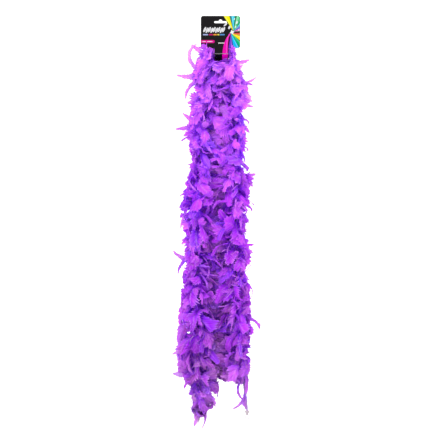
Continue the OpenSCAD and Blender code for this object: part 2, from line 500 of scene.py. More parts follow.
def make_loop():
    """The small loop of thread under the right knot."""
    t = turns(48)
    curve = np.stack([np.sin(t) * 0.8, 0.15 * np.sin(2 * t), np.cos(t)], axis=1)
    path = leg_end("right", LOOP_BELOW) + LOOP_R * curve
    on_leg_end(closed_tube("end_loop_right_piece", path, LOOP_THREAD_R, 8), "right", "end_loop_right")


make_binding()
for leg in ROUTES:
    make_knot(leg)
make_tail()
make_loop()


# ---------- feathers: shape ----------

QUILL_POINTS = 13
ROWS = np.arange(1, QUILL_POINTS - 1)      # the quill points that barbs leave from
ALONG = np.linspace(0, 1, QUILL_POINTS)
QUILL_R_ROOT, QUILL_R_TIP = 0.0007, 0.00015
DOWN_STRANDS = 16
EDGE_STRANDS = 8
STRAND_FACES = [(0, 1, 3, 2), (2, 3, 5, 4), (4, 5, 6)]
OVERHANG = 0.012       # how far a tip may pass the CAD's box

# PAINTED_SHADE is painted shade: the dark violet that feather roots and down are mixed towards
VIOLET, INDIGO, ORCHID, BLUSH, GREY_LILAC, PAINTED_SHADE = (np.array(colour(*c)[:3]) for c in (
    (192, 46, 248), (134, 22, 252), (212, 86, 242), (248, 196, 248), (184, 138, 192), (128, 0, 255)))


def turn_about(v, axis, angle):
    """Rotates each row of v about the same row of axis."""
    c, s = np.cos(angle)[:, None], np.sin(angle)[:, None]
    return v * c + np.cross(axis, v) * s + axis * (v * axis).sum(1, keepdims=True) * (1 - c)


def grow_quills(f):
    """Follows every quill from its root. Returns the points, directions and vane normals along them."""
    point, ahead = f["root"].copy(), f["direction"].copy()
    face = unit_rows(f["normal"] - ahead * (f["normal"] * ahead).sum(1, keepdims=True))
    points, directions, normals = [point], [ahead], [face]
    step = 1 / (QUILL_POINTS - 1)
    for t in ALONG[1:]:
        curl = f["curl"] * step * (0.35 + 1.3 * t)
        sideways = np.cross(ahead, face)
        ahead, face = turn_about(ahead, sideways, -curl), turn_about(face, sideways, -curl)
        ahead = turn_about(ahead, face, f["sweep"] * step)
        face = turn_about(face, ahead, f["twist"] * step)
        ahead = unit_rows(ahead - np.array([0, 0, 1]) * (f["droop"] * step * (0.5 + t))[:, None])
        face = unit_rows(face - ahead * (face * ahead).sum(1, keepdims=True))
        point = point + ahead * (f["length"] * step)[:, None]
        points.append(point)
        directions.append(ahead)
        normals.append(face)
    return np.stack(points, 1), np.stack(directions, 1), np.stack(normals, 1)


def vane_profile(t):
    """Half-width of a vane along the quill, as a share of the widest."""
    rise = np.clip((t - 0.04) / 0.38, 0, 1)
    fall = np.clip((1 - t) / 0.55, 0, 1)
    return np.sqrt(rise) * fall ** 0.7


class FeatherMesh:
    """Collects the points, faces, tints and barb coordinates of many equal feathers."""

    def __init__(self, count):
        self.count = count
        self.points, self.faces, self.tints, self.barbs = [], [], [], []
        self.used = 0

    def add(self, points, faces, tint, barbs):
        """points and tint hold three values for each point of each feather, and barbs two."""
        per_feather = points.shape[1]
        self.points.append(points.reshape(-1, 3))
        self.tints.append(np.broadcast_to(tint, points.shape).reshape(-1, 3))
        self.barbs.append(np.broadcast_to(barbs, points.shape[:2] + (2,)).reshape(-1, 2))
        starts = self.used + np.arange(self.count) * per_feather
        for size in sorted({len(face) for face in faces}):
            local = np.array([face for face in faces if len(face) == size])
            numbered = (starts[:, None, None] + local[None]).reshape(-1, size)
            self.faces += [tuple(row) for row in numbered.tolist()]
        self.used += self.count * per_feather

    def build(self, name):
        low, high = np.array(cad_low) - OVERHANG, np.array(cad_high) + OVERHANG
        points = np.clip(np.concatenate(self.points), low, high)
        piece = add_mesh(name, points, self.faces, FEATHER)
        add_tint(piece, np.concatenate(self.tints))
        corners = np.zeros(len(piece.data.loops), np.int32)
        piece.data.loops.foreach_get("vertex_index", corners)
        layer = piece.data.uv_layers.new(name="barbs")
        layer.data.foreach_set("uv", np.concatenate(self.barbs)[corners].astype(np.float32).ravel())
        return piece


def vane_faces(sign, first):
    """Faces of one side of a vane: two closed rows of barbs, then a pointed tuft between each two rows."""
    rows, gaps = len(ROWS), len(ROWS) - 1
    inner, outer = first, first + rows
    tuft_a, tuft_b, tip = first + 2 * rows, first + 2 * rows + gaps, first + 2 * rows + 2 * gaps
    faces = []
    for k in range(gaps):
        faces += [(k + 1, k + 2, inner + k + 1, inner + k),
                  (inner + k, inner + k + 1, outer + k + 1, outer + k),
                  (outer + k, outer + k + 1, tuft_b + k, tuft_a + k),
                  (tuft_a + k, tuft_b + k, tip + k)]
    end = QUILL_POINTS - 1
    faces += [(end - 1, end, inner + gaps), (inner + gaps, end, outer + gaps)]
    return faces if sign > 0 else [face[::-1] for face in faces]


def over_painted_shade(shade, share):
    """A colour that shows in a share over the painted shade colour near the quill."""
    return PAINTED_SHADE * (1 - share) + shade * share


def add_vanes(mesh, f, grown, rng):
    """The flat part of each feather. Its barbs sweep towards the tip and part into ragged tufts."""
    points, directions, normals = grown
    sideways = np.cross(directions, normals)
    count, rows = mesh.count, len(ROWS)
    t = ALONG[ROWS]
    tint, pale = f["tint"][:, None, :], f["pale"][:, None, :]
    seed = rng.uniform(0, 900, count)
    line = seed[:, None] + ALONG[None, :] * (f["length"] * 2600)[:, None]
    # painted shade: near the quill the vane is mixed towards the painted shade colour
    dye_over_painted_shade = (ROOT_SHARE + (1 - ROOT_SHARE) * np.minimum(1, ALONG * 1.7))[None, :, None]
    row_dye_over_painted_shade, row_line = dye_over_painted_shade[:, ROWS], line[:, ROWS]
    blocks = [points]
    tints = [over_painted_shade(tint * 0.8 + pale * 0.2, dye_over_painted_shade)]
    barbs = [np.stack([line, np.repeat(3 * seed[:, None], QUILL_POINTS, 1)], -1)]
    slant = np.radians(64 - 38 * t)[None, :]
    half = (f["width"] / 2)[:, None] * vane_profile(t)[None, :]
    faces, used = [], QUILL_POINTS
    near, far = slice(0, -1), slice(1, None)
    for sign in (1, -1):
        length = half / np.sin(slant) * rng.uniform(0.80, 1.22, (count, rows))
        out = (np.cos(slant)[..., None] * directions[:, ROWS]
               + sign * np.sin(slant)[..., None] * sideways[:, ROWS])
        cup = (f["cup"] + sign * f["fold"])[:, None]
        turns = 2.2 * math.pi * t[None, :] * f["waves"][:, None]
        wave = f["ripple"][:, None] * np.sin(turns + seed[:, None] + sign)

        def barb(share):
            """The point at a share of every barb."""
            reach = (length * share)[..., None]
            lift = (length * share ** 2 * (wave - cup))[..., None]
            return points[:, ROWS] + out * reach + normals[:, ROWS] * lift + directions[:, ROWS] * reach * 0.2

        part = rng.uniform(0.62, 0.92, (count, rows))
        beside, tips = barb(part + (1 - part) * 0.5), barb(np.ones_like(part))
        blocks += [barb(part * 0.5), barb(part),
                   beside[:, near] * 0.80 + beside[:, far] * 0.20,
                   beside[:, near] * 0.26 + beside[:, far] * 0.74,
                   tips[:, near] * 0.45 + tips[:, far] * 0.55]
        # painted highlight: the barbs grow paler towards their ends
        for paleness, reach in ((0.0, 0.5), (0.12, 1), (0.30, 1.3), (0.30, 1.3), (0.62, 1.6)):
            along, share = row_line, row_dye_over_painted_shade
            if reach > 1:
                along, share = (row_line[:, near] + row_line[:, far]) / 2, row_dye_over_painted_shade[:, near]
            share = share + (1 - share) * paleness
            tints.append(over_painted_shade(tint * (1 - paleness) + pale * paleness, share))
            barbs.append(np.stack([along, 3 * seed[:, None] + sign * reach * 1.5 + 0 * along], -1))
        faces += vane_faces(sign, used)
        used += 2 * rows + 3 * (rows - 1)
    mesh.add(np.concatenate(blocks, 1), faces, np.concatenate(tints, 1), np.concatenate(barbs, 1))


def add_quills(mesh, f, grown):
    """A thin three-sided quill through each vane."""
    points, directions, normals = grown
    sideways = np.cross(directions, normals)
    radius = (QUILL_R_ROOT + (QUILL_R_TIP - QUILL_R_ROOT) * ALONG)[None, :, None]
    corners = [points + (sideways * math.cos(a) + normals * math.sin(a)) * radius
               for a in (math.pi / 2, math.pi * 7 / 6, math.pi * 11 / 6)]
    quill = np.stack(corners, 2).reshape(mesh.count, -1, 3)
    tint = (f["tint"] * 0.4 + f["pale"] * 0.6)[:, None, :]
    mesh.add(quill, tube_faces(QUILL_POINTS, 3), tint, np.zeros((1, 1, 2)))


def add_strands(mesh, start, ahead, face, bend, length, width, tint):
    """One tapered hair for each feather. It is cut short where it would lie on the strap."""
    wide = unit_rows(np.cross(ahead, face)) * width[:, None]
    x, y, z = (start + (ahead + bend) * length[:, None]).T
    on_strap = (x > STRAP_LEFT - 0.002) & (x < STRAP_RIGHT + 0.002) & (y < FOLD_Y) & (z > FOLD_Z - 0.003)
    reach = np.where(on_strap, 0.1, 1.0)[:, None] * length[:, None]
    centre = [start + ahead * reach * s + bend * reach * s * s for s in (0, 0.4, 0.75, 1.0)]
    points = [centre[0] - wide, centre[0] + wide, centre[1] - wide, centre[1] + wide,
              centre[2] - wide * 0.6, centre[2] + wide * 0.6, centre[3]]
    mesh.add(np.stack(points, 1), STRAND_FACES, tint[:, None, :], np.zeros((1, 1, 2)))


def at_points(grown, at):
    """The point, direction and vane normal of each feather at one of its quill points."""
    return [part[np.arange(len(at)), at] for part in grown]


def add_down(mesh, f, grown, rng):
    """The soft loose barbs on the lower half of each quill."""
    count = mesh.count
    for _ in range(DOWN_STRANDS):
        start, along, face = at_points(grown, rng.integers(0, QUILL_POINTS // 2, count))
        ahead = unit_rows(along * 0.7 + unit_rows(rng.normal(0, 1, (count, 3))))
        bend = unit_rows(rng.normal(0, 1, (count, 3)) + np.array([0, 0, -0.5])) * 0.4
        length, width = rng.uniform(0.010, 0.026, count), rng.uniform(0.0002, 0.0005, count)
        # painted shade: the down is mixed towards the painted shade colour
        tint = over_painted_shade(f["tint"], rng.uniform(0.3, 0.9, (count, 1)))
        add_strands(mesh, start, ahead, face, bend, length, width, tint)


def add_edge_strands(mesh, f, grown, rng):
    """Barbs that stick out of the edges of each vane."""
    count = mesh.count
    tint = f["tint"] * 0.5 + f["pale"] * 0.45
    for k in range(EDGE_STRANDS):
        start, along, face = at_points(grown, rng.integers(3, QUILL_POINTS - 1, count))
        slant = np.radians(rng.uniform(20, 55, count))[:, None]
        sideways = np.cross(along, face) * (1 if k % 2 else -1)
        ahead = along * np.cos(slant) + sideways * np.sin(slant)
        bend = face * -rng.uniform(-0.1, 0.5, (count, 1)) + along * 0.2
        length, width = f["width"] * rng.uniform(0.40, 0.65, count), rng.uniform(0.00015, 0.00035, count)
        add_strands(mesh, start, ahead, face, bend, length, width, tint)


def build_feathers(name, f, rng):
    """One mesh of vanes, quills and down for all the feathers in f."""
    grown = grow_quills(f)
    mesh = FeatherMesh(len(f["root"]))
    add_vanes(mesh, f, grown, rng)
    add_quills(mesh, f, grown)
    add_down(mesh, f, grown, rng)
    add_edge_strands(mesh, f, grown, rng)
    return mesh.build(name)


# ---------- feathers: where they grow ----------

# The bulges and the waists of the feathers on each side, as (z, x)
EDGES = {
    "left": [(-0.03, -0.045), (-0.10, -0.045), (-0.13, -0.080), (-0.18, -0.060), (-0.28, -0.100),
             (-0.35, -0.070), (-0.48, -0.105), (-0.55, -0.082), (-0.76, -0.108), (-0.90, -0.110),
             (-0.92, -0.083), (-1.04, -0.066)],
    "right": [(-0.03, 0.035), (-0.09, 0.036), (-0.17, 0.075), (-0.23, 0.052), (-0.27, 0.065),
              (-0.37, 0.054), (-0.39, 0.080), (-0.55, 0.065), (-0.59, 0.078), (-0.63, 0.065),
              (-0.79, 0.086), (-0.82, 0.073), (-1.04, 0.073)],
}
# How far each leg's feathers reach towards the other leg near the bottom, as (z, x)
INNER_LIMIT = {
    "left": [(-0.90, 0.050), (-0.92, 0.006), (-0.955, 0.006), (-1.00, -0.034), (-1.04, -0.060)],
    "right": [(-0.90, -0.060), (-0.92, 0.057), (-1.04, 0.060)],
}
LOWEST = -1.036
DEEPEST = 0.057
SHARE_OF_SPIKES = 0.06
SPIKE_ROOM = 0.016
SPIKE_WIDTH = 0.45
CARD_ROOM = 0.004      # how near the card's plane a quill may come
STRAP_ROOM = 0.0015
SHOULDER_TOP = -0.057  # how high feathers may stand in front of the card
SHORTENINGS = 12       # how many times a feather may be shortened before it is dropped
SPIKES_BELOW = -0.125
FEATHERS_PER_METRE = 760
BEND_FEATHERS = 260
SHOULDER_FEATHERS = 36
STRAP_FEATHERS = 40
PRESSED_FEATHERS = 70
VEIL_FEATHERS = 160
LOW_VEIL_FEATHERS = 40
JOINT_REACH = 0.050
ROOT_SHARE = 0.25       # how much of its own colour a feather shows at its root, over the painted shade
GOLDEN_ANGLE = 2.39996


def edge_at(points, z):
    heights, reach = (np.array(column)[::-1] for column in zip(*points))
    return np.interp(z, heights, reach)


def outline_at(side, z):
    left, right = edge_at(EDGES["left"], z), edge_at(EDGES["right"], z)
    inner = edge_at(INNER_LIMIT[side], z)
    if side == "left":
        return left, np.minimum(right, inner)
    return np.maximum(left, inner), right


def keep_inside(f, side, rng):
    """Shortens and curls the feathers that reach past the outline, and drops those that still do.

    A few narrow spikes may reach further."""
    spike = (rng.uniform(0, 1, len(f["root"])) < SHARE_OF_SPIKES) & (f["root"][:, 2] < SPIKES_BELOW)
    room = np.where(spike, SPIKE_ROOM, 0.0)[:, None]
    f["width"][spike] *= SPIKE_WIDTH
    for _ in range(SHORTENINGS):
        x, y, z = np.moveaxis(grow_quills(f)[0], -1, 0)
        left, right = outline_at(side, z)
        margin = (f["width"] * 0.24)[:, None]
        over = ((x - margin < left - room) | (x + margin > right + room)
                | (np.abs(y - BOA_Y) > DEEPEST - margin) | (z < LOWEST)).any(1)
        if not over.any():
            break
        f["length"][over] *= 0.93
        f["curl"][over] += 0.12 * np.sign(f["curl"][over])
        f["droop"][over] += 0.05
    return select(f, ~over)


def select(f, mask):
    return {key: value[mask] for key, value in f.items()}


def join(*sets):
    return {key: np.concatenate([s[key] for s in sets]) for key in sets[0]}


def strap_loop():
    """The strap's closed outline from the side, as (y, z) points."""
    back = [(0.0255, -0.090), (0.022, -0.074), (0.0095, -0.060)]
    return np.array([(0, -0.055), (0, CREASE_Z), (FOLD_Y, FOLD_Z), *back])


def side_of_loop(y, z):
    """Whether points are within the strap's outline, and how far they are from the strap."""
    corners = strap_loop()
    within, gap = np.zeros(y.shape, bool), np.full(y.shape, 1.0)
    for (y0, z0), (y1, z1) in zip(corners, np.roll(corners, -1, axis=0)):
        run_y, run_z = y1 - y0, z1 - z0
        within ^= ((z0 > z) != (z1 > z)) & (y < y0 + (z - z0) / run_z * run_y)
        share = np.clip(((y - y0) * run_y + (z - z0) * run_z) / (run_y ** 2 + run_z ** 2), 0, 1)
        gap = np.minimum(gap, np.hypot(y - y0 - share * run_y, z - z0 - share * run_z))
    return within, gap


def clear_of_card(f):
    """Which feathers don't cut the card or its strap and don't hide the strap."""
    points = grow_quills(f)[0]
    halfway = (points[:, 1:] + points[:, :-1]) / 2
    points = np.concatenate([points[:, :-1, None], halfway[:, :, None]], 2).reshape(len(points), -1, 3)
    x, y, z = np.moveaxis(points, -1, 0)
    half = (f["width"] * 0.22)[:, None]
    on_card = (np.abs(x) < CARD_HALF_WIDTH + 0.002) & (z + half > CARD_BOTTOM)
    in_sheet = on_card & (np.abs(y) < CARD_ROOM)
    in_front = on_card & (y < 0)
    over_strap = (x > STRAP_LEFT - 0.001) & (x < STRAP_RIGHT + 0.001)
    hides = in_front & ((z > SHOULDER_TOP) | over_strap)
    crosses = (on_card & (y > 0)).any(1) & in_front.any(1)
    at_strap = (x + half > STRAP_LEFT) & (x - half < STRAP_RIGHT)
    near_strap = (x + 2 * half > STRAP_LEFT) & (x - 2 * half < STRAP_RIGHT)
    within, gap = side_of_loop(y, z)
    enters = (at_strap & within).any(1) & (at_strap & ~within).any(1)
    touches = (at_strap & (gap < STRAP_ROOM)).any(1)
    covers = (near_strap & ~within & (y < FOLD_Y) & (z > FOLD_Z - 0.004)).any(1)
    return ~(in_sheet.any(1) | crosses | hides.any(1) | enters | touches | covers)


def toward(shade, goal, share):
    return shade + (goal - shade) * share


def dye_and_painted_light(f, rng):
    """The colour varies from feather to feather. It is greyer near the ends of the boa, and painted light
    makes it brighter towards the top and darker lower down.
    """
    count = len(f["root"])
    z = f["root"][:, 2]
    draw = rng.uniform(0, 1, (count, 1))
    base = np.where(draw < 0.22, INDIGO, np.where(draw < 0.62, VIOLET, ORCHID))
    base = toward(base, VIOLET, rng.uniform(0.2, 0.8, (count, 1)))
    # painted highlight: feathers higher up are mixed towards the pale blush colour
    top = np.clip((z + 0.45) / 0.35, 0, 1)[:, None]
    base = toward(base, BLUSH, top * 0.13 + rng.uniform(0, 0.06, (count, 1)))
    tail = np.clip((-0.80 - z) / 0.20, 0, 1)[:, None]
    base = toward(base, GREY_LILAC, tail * rng.uniform(0.3, 1.0, (count, 1)))
    # painted light: the colour is brighter towards the top of the boa and darker lower down
    level = np.interp(z, (-0.80, -0.45, -0.15), (0.73, 0.92, 1.13))[:, None]
    f["tint"] = np.clip(base * rng.uniform(0.86, 1.12, (count, 1)) * level, 0, 1)
    f["pale"] = np.clip(toward(base, BLUSH, rng.uniform(0.3, 0.9, (count, 1))), 0, 1)
    return f


def new_feathers(root, direction, normal, rng, length, width, curl=1.2, curl_spread=1.0, droop=(0.05, 0.6)):
    """A set of feathers with their own small differences."""
    count = len(root)
    f = {
        "root": root, "direction": unit_rows(direction), "normal": normal,
        "length": rng.uniform(*length, count), "width": rng.uniform(*width, count),
        "curl": rng.normal(curl, curl_spread, count), "sweep": rng.normal(0, 0.7, count),
        "twist": rng.normal(0, 1.1, count), "droop": rng.uniform(*droop, count),
        "cup": rng.uniform(0.1, 0.8, count), "fold": rng.normal(0, 0.35, count),
        "ripple": rng.uniform(0.1, 0.6, count), "waves": rng.uniform(0.7, 1.8, count),
    }
    return dye_and_painted_light(f, rng)


def cord_places(path, count, rng):
    """Roots in a spiral round a path: place, distance along it, the cord's direction, outward direction."""
    run = np.clip((np.arange(count) + rng.uniform(-0.4, 0.4, count)) / count, 0, 1) * run_lengths(path)[-1]
    place = path_at(path, run)
    axis = unit_rows(path_at(path, run + 1e-3) - path_at(path, run - 1e-3))
    turn = np.arange(count) * GOLDEN_ANGLE + rng.normal(0, 0.35, count)
    front = np.tile([0.0, -1.0, 0.0], (count, 1))
    beside = unit_rows(np.cross(front, axis))
    out = front * np.cos(turn)[:, None] + beside * np.sin(turn)[:, None]
    return place, run, axis, out


def scatter(path, count, rng):
    """Feathers all round a stretch of the cord, most of them broad and some of them narrow."""
    place, run, axis, out = cord_places(path, count, rng)
    low = np.clip((-0.55 - place[:, 2]) / 0.4, 0, 1)
    lean = np.radians(np.clip(rng.normal(6, 36, count) + 32 * low, -65, 80))
    direction = out * np.cos(lean)[:, None] + axis * np.sin(lean)[:, None]
    square = -axis * np.cos(lean)[:, None] + out * np.sin(lean)[:, None]
    normal = turn_about(square, unit_rows(direction), rng.uniform(-1.5, 1.5, count))
    f = new_feathers(place + out * CORD_D / 2, direction, normal, rng, (0.056, 0.090), (0.016, 0.034))
    narrow = rng.uniform(0, 1, count) < 0.15
    f["width"][narrow] *= 0.32
    f["length"][narrow] *= 1.05
    f["sweep"][narrow] *= 1.8
    f["tint"][narrow] = toward(f["tint"][narrow], BLUSH, 0.12)
    f["droop"] += low * rng.uniform(0.4, 1.2, count)
    f["length"] *= 1 + 0.15 * low
    f["run"] = run
    return f


def make_group(name, f, rng, body=None, node=None):
    piece = build_feathers(name, f, rng)
    if body:
        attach(piece, body)
    if node:
        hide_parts(node)
    return piece


def faces_along_y(count, rng, y, spread_x, z, spread_z):
    """Vane normals that point forwards (y -1) or backwards (y 1), each a little turned."""
    x = rng.normal(0, spread_x, count)
    return np.stack([x, np.full(count, y), rng.normal(z, spread_z, count)], 1)


def veil(side, rng):
    """Thin broad feathers that lie across the gap between the two legs, darkened and greyed as painted shade.
    """
    count, lower = VEIL_FEATHERS, LOW_VEIL_FEATHERS
    z = np.concatenate([rng.uniform(-0.860, -0.104, count - lower), rng.uniform(-0.900, -0.780, lower)])
    root = leg_roots(side, z)
    rise = np.radians(rng.normal(-8, 30, count))
    direction = np.stack([-SIGN[side] * np.cos(rise), rng.normal(0, 0.22, count), np.sin(rise)], 1)
    normal = faces_along_y(count, rng, -1.0, 0.3, 0, 0.3)
    f = new_feathers(root, direction, normal, rng, (0.056, 0.074), (0.024, 0.036), curl=0.2, curl_spread=0.5)
    # painted shade: the veil's colour is darkened and greyed
    f["tint"] = f["tint"] * 0.68 + GREY_LILAC * 0.16
    return f


# Single feathers that stand out: height of the root, tip x and z, bend in degrees, width, paleness
STRAYS = {
    "left": [
        (-0.098, -0.073, -0.054, 15, 0.016, 0.5), (-0.110, -0.066, -0.060, -195, 0.013, 0.9),
        (-0.135, -0.112, -0.135, -20, 0.018, 0.4), (-0.150, -0.090, -0.192, 110, 0.014, 0.5),
        (-0.190, -0.083, -0.205, 25, 0.015, 0.4), (-0.255, -0.096, -0.229, -30, 0.014, 0.6),
        (-0.270, -0.115, -0.270, 20, 0.013, 0.4), (-0.430, -0.103, -0.530, 40, 0.010, 0.5),
        (-0.600, -0.122, -0.583, -70, 0.013, 0.4), (-0.590, -0.112, -0.640, 80, 0.011, 0.3),
        (-0.700, -0.098, -0.735, 160, 0.009, 0.4), (-0.690, -0.105, -0.772, 60, 0.022, 0.1),
        (-0.740, -0.110, -0.815, 60, 0.024, 0.3), (-0.785, -0.112, -0.862, 60, 0.024, 0.5),
        (-0.820, -0.108, -0.890, 60, 0.024, 0.2), (-0.830, -0.125, -0.843, 25, 0.015, 0.6),
        (-0.880, -0.122, -0.893, -25, 0.018, 0.7), (-0.960, -0.067, -1.030, -15, 0.014, 0.3),
    ],
    "right": [
        (-0.100, 0.073, -0.096, 20, 0.011, 0.6), (-0.160, 0.092, -0.140, 30, 0.008, 0.6),
        (-0.165, 0.078, -0.200, -30, 0.022, 0.9), (-0.200, 0.084, -0.214, 15, 0.013, 0.8),
        (-0.255, 0.073, -0.280, -50, 0.012, 0.5), (-0.395, 0.089, -0.384, 25, 0.013, 0.5),
        (-0.395, 0.083, -0.416, -35, 0.012, 0.5), (-0.585, 0.084, -0.584, -40, 0.013, 0.4),
        (-0.760, 0.099, -0.780, -120, 0.016, 0.3), (-0.908, 0.060, -0.962, 125, 0.010, 0.1),
        (-0.935, 0.070, -0.985, 20, 0.014, 0.0), (-0.945, 0.030, -0.986, -60, 0.009, 0.2),
    ],
}


def strays(side, rng):
    """Each single feather follows an arc from its root on the cord to its tip, and shows its face."""
    root_z, tip_x, tip_z, bend, width, pale = np.array(STRAYS[side]).T
    count = len(root_z)
    root = leg_roots(side, root_z)
    tip = np.stack([tip_x, np.full(count, BOA_Y - 0.012), tip_z], 1)
    half_bend = np.radians(bend) / 2
    chord = tip - root
    length = np.linalg.norm(chord, axis=1) * half_bend / np.sin(half_bend)
    facing = np.tile([0.0, -1.0, 0.0], (count, 1))
    direction = turn_about(unit_rows(chord), facing, -half_bend)
    f = new_feathers(root, direction, facing, rng, (0.05, 0.05), (0.01, 0.01), curl=0.1, curl_spread=0.15)
    f.update(length=length, width=width, sweep=2 * half_bend, twist=f["twist"] * 0.3, droop=np.zeros(count))
    f["tint"] = toward(f["tint"], BLUSH, pale[:, None] * 0.45)
    return f


def thin_end(f, side, rng):
    """Bares the end of a leg: the last of the cord on the right, the front of the knot on the left."""
    z = f["root"][:, 2]
    if side == "left":
        return select(f, (z > KNOT_Z + 0.030) | (f["direction"][:, 1] > 0.0))
    kept = np.interp(z, (-0.915, -0.890), (0.03, 1.0))
    return select(f, rng.uniform(0, 1, len(kept)) < kept)


def make_leg_feathers(side):
    """Groups that ride on one length each, and groups near the joints between them."""
    rng = np.random.default_rng(11 if side == "left" else 29)
    path = [leg_point(side, n, 0) for n in LENGTHS] + [leg_point(side, 4, 1)]
    f = scatter(path, int(run_lengths(path)[-1] * FEATHERS_PER_METRE), rng)
    f = thin_end(keep_inside(f, side, rng), side, rng)
    extra = join(keep_inside(veil(side, rng), side, rng), strays(side, rng))
    extra["run"] = ROUTES[side][0][1] - extra["root"][:, 2]
    f = join(f, extra)
    f = select(f, clear_of_card(f))
    ends = run_lengths(path)
    for n in LENGTHS:
        start, end = ends[n - 1], ends[n]
        near = np.abs(f["run"] - start) < JOINT_REACH
        piece = make_group(f"feathers_{side}_joint_{n}", select(f, near), rng)
        blend_across(piece)
        rest = (f["run"] >= start + JOINT_REACH) & ((f["run"] <= end - JOINT_REACH) | (n == 4))
        name = f"feathers_{side}_piece_{n}"
        make_group(name, select(f, rest), rng, BODIES[side][n], f"feathers_{side}_{n}")


def bend_roots(side, angles, face_y):
    """Roots on the front of the cord (face_y -1) or on its back (1), where it bends beside the strap."""
    return np.array([tuple(bend_point(side, a)) for a in angles]) + np.array([0, face_y * CORD_D / 2, 0])


def shoulder(side, rng):
    """Feathers that stand up in front of the card, beside the strap. On the left they cover its corner."""
    count = SHOULDER_FEATHERS
    root = bend_roots(side, rng.uniform(55, 90, count), -1)
    if side == "left":
        lean, length, width = (-0.42, 0.20), (0.030, 0.042), (0.012, 0.020)
    else:
        lean, length, width = (-0.20, 0.04), (0.032, 0.050), (0.008, 0.012)
    aim = np.stack([rng.uniform(*lean, count), rng.uniform(-0.75, -0.50, count), np.ones(count)], 1)
    normal = faces_along_y(count, rng, -1.0, 0.4, -0.3, 0.3)
    return new_feathers(root, aim, normal, rng, length, width, curl=0.1, curl_spread=0.3, droop=(0.0, 0.2))


def behind_strap(side, rng):
    """Feathers that stand up behind the strap and show at both of its edges, under the card."""
    count = STRAP_FEATHERS
    root = bend_roots(side, rng.uniform(40, 90, count), 1)
    inward = -SIGN[side] * rng.uniform(0.15, 0.85, count)
    aim = np.stack([inward, rng.uniform(0.35, 0.75, count), np.ones(count)], 1)
    normal = faces_along_y(count, rng, 1.0, 0.3, -0.3, 0.2)
    return new_feathers(root, aim, normal, rng, (0.030, 0.044), (0.018, 0.026), curl=0.1, curl_spread=0.2,
                        droop=(0.0, 0.1))


def make_bight_feathers(side):
    rng = np.random.default_rng(53 if side == "left" else 71)
    path = [bend_point(side, a) for a in range(20, 91, 10)] + [leg_point(side, 1, 0)]
    f = scatter(path, BEND_FEATHERS, rng)
    f["direction"] = unit_rows(f["direction"] + np.array([SIGN[side] * 0.45, -0.1, 0.15]))
    f["length"] *= 0.9
    del f["run"]
    f = keep_inside(join(f, behind_strap(side, rng)), side, rng)
    node = f"feathers_bight_{side}"
    make_group(f"{node}_piece", select(f, clear_of_card(f)), rng, "bight", node)
    f = keep_inside(shoulder(side, rng), side, rng)
    leaning = make_group(f"feathers_on_card_{side}", select(f, clear_of_card(f)), rng)
    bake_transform(leaning)


def make_pressed_feathers():
    """Feathers pressed flat along the cord, inside the strap."""
    rng = np.random.default_rng(97)
    path = [boa_point(BIGHT_RUN["left"] - 0.002, BIGHT_Z), boa_point(BIGHT_RUN["right"] + 0.002, BIGHT_Z)]
    place, run, axis, out = cord_places(path, PRESSED_FEATHERS, rng)
    along = axis * np.where(run > run.mean(), 1.0, -1.0)[:, None]
    f = new_feathers(place + out * 0.0038, along * 0.95 + out * 0.12, out, rng, (0.010, 0.015),
                     (0.006, 0.009), curl=-0.15, curl_spread=0.1, droop=(0.0, 0.05))
    f["cup"] = np.full(len(run), 0.25)
    mesh = FeatherMesh(len(run))
    grown = grow_quills(f)
    add_vanes(mesh, f, grown, rng)
    add_quills(mesh, f, grown)
    piece = mesh.build("feathers_bight_middle_piece")
    on_body(piece, "bight", "feathers_bight_middle")


for leg in ROUTES:
    make_leg_feathers(leg)
    make_bight_feathers(leg)
make_pressed_feathers()


# ---------- card ----------

PRINT_THICK = 0.00006
INK_STRENGTH = 0.44
UNDERFOLD_PAINTED_LIGHT_STRENGTH = 0.95     # painted light: the ink on the underfold, which faces down, is brighter than on the card's face
FAN_HEART_R = 0.0020
# The two fans of streamers: centre, then first and last angle from level and colour of each streamer
FANS = [
    (np.array([0.0330, -0.0235]), [
        (105, 123, (255, 250, 0)), (99, 103, (0, 130, 150)), (86, 98, (70, 225, 250)),
        (79, 85, (0, 120, 70)), (66, 78, (120, 235, 165)), (53, 65, (0, 175, 110)),
        (42, 52, (90, 215, 240)), (26, 41, (95, 85, 220)), (9, 25, (250, 60, 170)), (3, 8, (255, 250, 240)),
    ]),
    (np.array([0.0265, -0.0280]), [
        (-8, 2, (235, 60, 40)), (-15, -9, (255, 160, 50)), (-39, -17, (255, 245, 0)),
        (-58, -42, (0, 200, 130)), (-78, -60, (0, 205, 255)), (-84, -79, (20, 70, 215)),
        (-99, -85, (120, 60, 215)),
    ]),
]
FAN_CENTRE = FANS[1][0]
MAGENTA = (255, 0, 184)


def card_reach(start, angle):
    """Distance from a point to the card's edge, whose corners are round."""
    ahead = np.array([math.cos(angle), math.sin(angle)])
    half = np.array([CARD_HALF_WIDTH, (CARD_TOP - CARD_BOTTOM) / 2]) - 0.0004
    centre = np.array([0.0, (CARD_TOP + CARD_BOTTOM) / 2])
    low, high = 0.0, 0.2
    for _ in range(40):
        middle = (low + high) / 2
        corner = np.maximum(np.abs(start + ahead * middle - centre) - (half - CARD_CORNER), 0)
        if np.linalg.norm(corner) < CARD_CORNER:
            low = middle
        else:
            high = middle
    return low


def polar(radius, angle):
    return radius * np.array([math.cos(angle), math.sin(angle)])


def streamer_outline(centre, first, last):
    angles = np.radians(np.linspace(first, last, 8))
    heart = [centre + polar(FAN_HEART_R, a) for a in angles[[-1, 0]]]
    return heart + [centre + polar(card_reach(centre, a), a) for a in angles]


def bar(left, right, low, high):
    return [(left, low), (right, low), (right, high), (left, high)]


